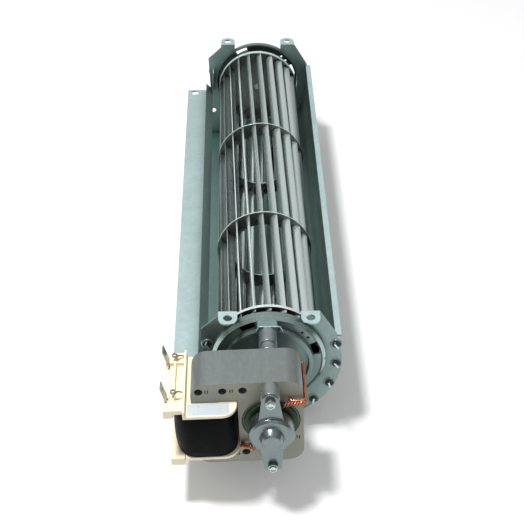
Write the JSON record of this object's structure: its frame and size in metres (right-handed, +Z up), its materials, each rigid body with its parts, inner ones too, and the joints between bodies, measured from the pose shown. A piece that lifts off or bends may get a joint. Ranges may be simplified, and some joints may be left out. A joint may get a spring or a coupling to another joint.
{
  "type": "cross flow fan",
  "caption": "Long drum impeller of curved strip blades in a sheet-metal scroll housing, driven by a shaded pole motor with C-shaped core at one end.",
  "frame": {"origin": "centre of the four ear holes, level with the top face of the ears", "axes": "+Z up out of the ears, +Y along the impeller axis away from the motor, +X right seen from the motor"},
  "size_m": [0.1012, 0.4006, 0.0824],
  "materials": {
    "galvanised_sheet": "bright galvanised, pale cyan tint",
    "blade_metal": "satin rolled aluminium strip",
    "disc_metal": "satin sheet steel",
    "zinc_plate": "zinc plated, satin",
    "ground_steel": "ground",
    "laminations": "bare electrical sheet, brushed edges",
    "cage_aluminium": "cast",
    "bronze": "sintered",
    "felt": "oiled wool felt",
    "cream_plastic": "cream nylon, satin",
    "black_tape": "black insulating tape over copper",
    "copper": "bare copper wire",
    "tinned_brass": "tinned",
    "label_film": "bare silver-white film",
    "rubber": "black",
    "hub_plastic": "red-brown moulding"
  },
  "bodies": {
    "housing": {"coil_bobbin": "cream_plastic", "coil_core": "laminations", "coil_winding": "black_tape", "free_end_bush": "bronze", "free_end_grommet": "rubber", "free_end_plate": "galvanised_sheet", "front_bracket": "zinc_plate", "front_bush": "bronze", "front_felt": "felt", "front_retainer": "zinc_plate", "front_sleeves": "zinc_plate", "motor_bolts": "zinc_plate", "motor_end_plate": "galvanised_sheet", "motor_nuts": "zinc_plate", "plate_sleeves": "zinc_plate", "rating_label": "label_film", "rear_bracket": "zinc_plate", "rear_bush": "bronze", "rear_felt": "felt", "rear_retainer": "zinc_plate", "rear_sleeves": "zinc_plate", "scroll_sheet": "galvanised_sheet", "shading_coil_lower": "copper", "shading_coil_upper": "copper", "stator_core": "laminations", "terminal_front": "tinned_brass", "terminal_rear": "tinned_brass", "tongue_sheet": "galvanised_sheet"},
    "impeller": {"blade_01": "blade_metal", "blade_02": "blade_metal", "blade_03": "blade_metal", "blade_04": "blade_metal", "blade_05": "blade_metal", "blade_06": "blade_metal", "blade_07": "blade_metal", "blade_08": "blade_metal", "blade_09": "blade_metal", "blade_10": "blade_metal", "blade_11": "blade_metal", "blade_12": "blade_metal", "blade_13": "blade_metal", "blade_14": "blade_metal", "blade_15": "blade_metal", "blade_16": "blade_metal", "blade_17": "blade_metal", "blade_18": "blade_metal", "blade_19": "blade_metal", "blade_20": "blade_metal", "blade_21": "blade_metal", "drive_hub": "hub_plastic", "free_side_disc": "disc_metal", "motor_side_disc": "disc_metal", "ring_free_side": "disc_metal", "ring_motor_side": "disc_metal", "rotor_cage": "cage_aluminium", "rotor_core": "laminations", "shaft": "ground_steel", "stub_shaft": "ground_steel"}
  },
  "joints": [
    {"name": "impeller_spin", "type": "hinge", "parent": "housing", "child": "impeller", "pos_m": [0, 0, -0.031], "axis": [0, 1, 0], "continuous": true}
  ]
}
